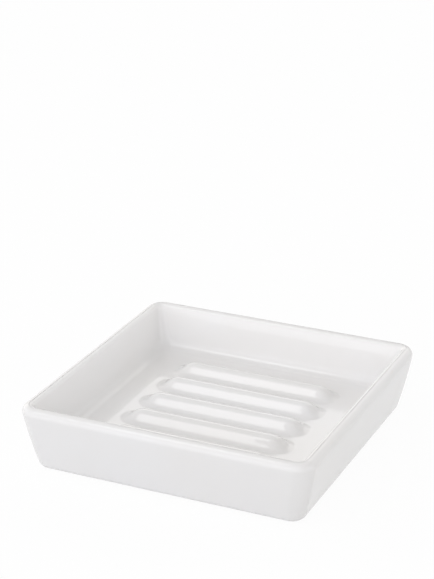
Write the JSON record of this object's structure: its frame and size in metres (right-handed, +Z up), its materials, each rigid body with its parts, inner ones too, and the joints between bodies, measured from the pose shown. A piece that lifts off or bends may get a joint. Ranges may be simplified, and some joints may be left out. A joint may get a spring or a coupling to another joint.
{
  "type": "soap dish",
  "caption": "Square glazed soap dish with leaning walls, a rolled rim, and round-ended drain ribs side by side on its coved floor.",
  "frame": {"origin": "centre of the base, on the plane that the dish stands on", "axes": "+Z up out of the dish, +X along the drain ribs, +Y across them towards the side that is at the back in the picture"},
  "size_m": [0.1188, 0.1188, 0.0265],
  "materials": {
    "glaze": "glossy white glaze over the whole dish, bare fired clay on the band that it stands on"
  },
  "bodies": {
    "root": {"dish": "glaze"}
  },
  "joints": []
}
